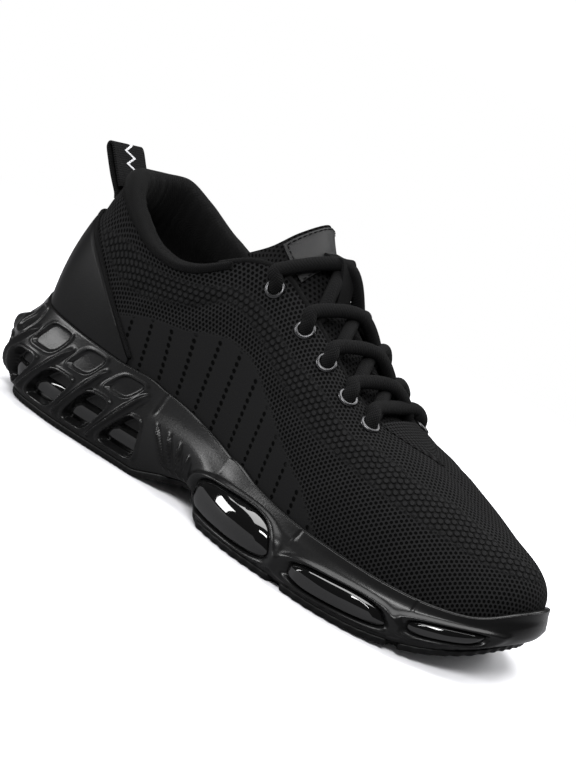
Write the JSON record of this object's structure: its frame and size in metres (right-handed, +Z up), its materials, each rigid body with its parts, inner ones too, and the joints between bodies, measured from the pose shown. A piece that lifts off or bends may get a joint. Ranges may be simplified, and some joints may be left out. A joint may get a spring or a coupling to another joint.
{
  "type": "safety sneaker",
  "caption": "Low safety sneaker, right foot: knit upper on a thick cushioned sole with a caged heel tube and side bubbles, padded collar, laced throat and heel pull loop",
  "frame": {"origin": "on the floor, below the middle of the whole shoe's bounding box", "axes": "+X runs from the heel to the toe, +Y to the inner (big toe) side, +Z up"},
  "size_m": [0.2932, 0.1112, 0.1363],
  "materials": {
    "rubber": "matte moulded tread rubber",
    "foam": "smooth satin moulded midsole",
    "gloss": "clear-coated black bubble",
    "knit": "dull fine knit",
    "lining": "soft brushed lining",
    "synthetic": "smooth low-sheen film",
    "satin": "woven satin",
    "metal": "dark gunmetal eyelet",
    "cord": "round braided cord",
    "webbing": "ribbed webbing"
  },
  "bodies": {
    "root": {"outsole": "rubber", "midsole": "foam", "pod_rear_outer": "gloss", "pod_rear_inner": "gloss", "pod_mid_outer": "gloss", "pod_mid_inner": "gloss", "pod_toe_outer": "gloss", "pod_toe_inner": "gloss", "heel_air_tube": "gloss", "insole": "lining", "upper": "knit", "heel_counter": "synthetic", "counter_piping": "synthetic", "collar_lining": "lining", "tongue": "knit", "tongue_label": "satin", "eyelet_outer_1": "metal", "eyelet_outer_2": "metal", "eyelet_outer_3": "metal", "eyelet_outer_4": "metal", "eyelet_outer_5": "metal", "eyelet_inner_1": "metal", "eyelet_inner_2": "metal", "eyelet_inner_3": "metal", "eyelet_inner_4": "metal", "eyelet_inner_5": "metal", "lace": "cord", "pull_loop": "webbing"}
  },
  "joints": []
}
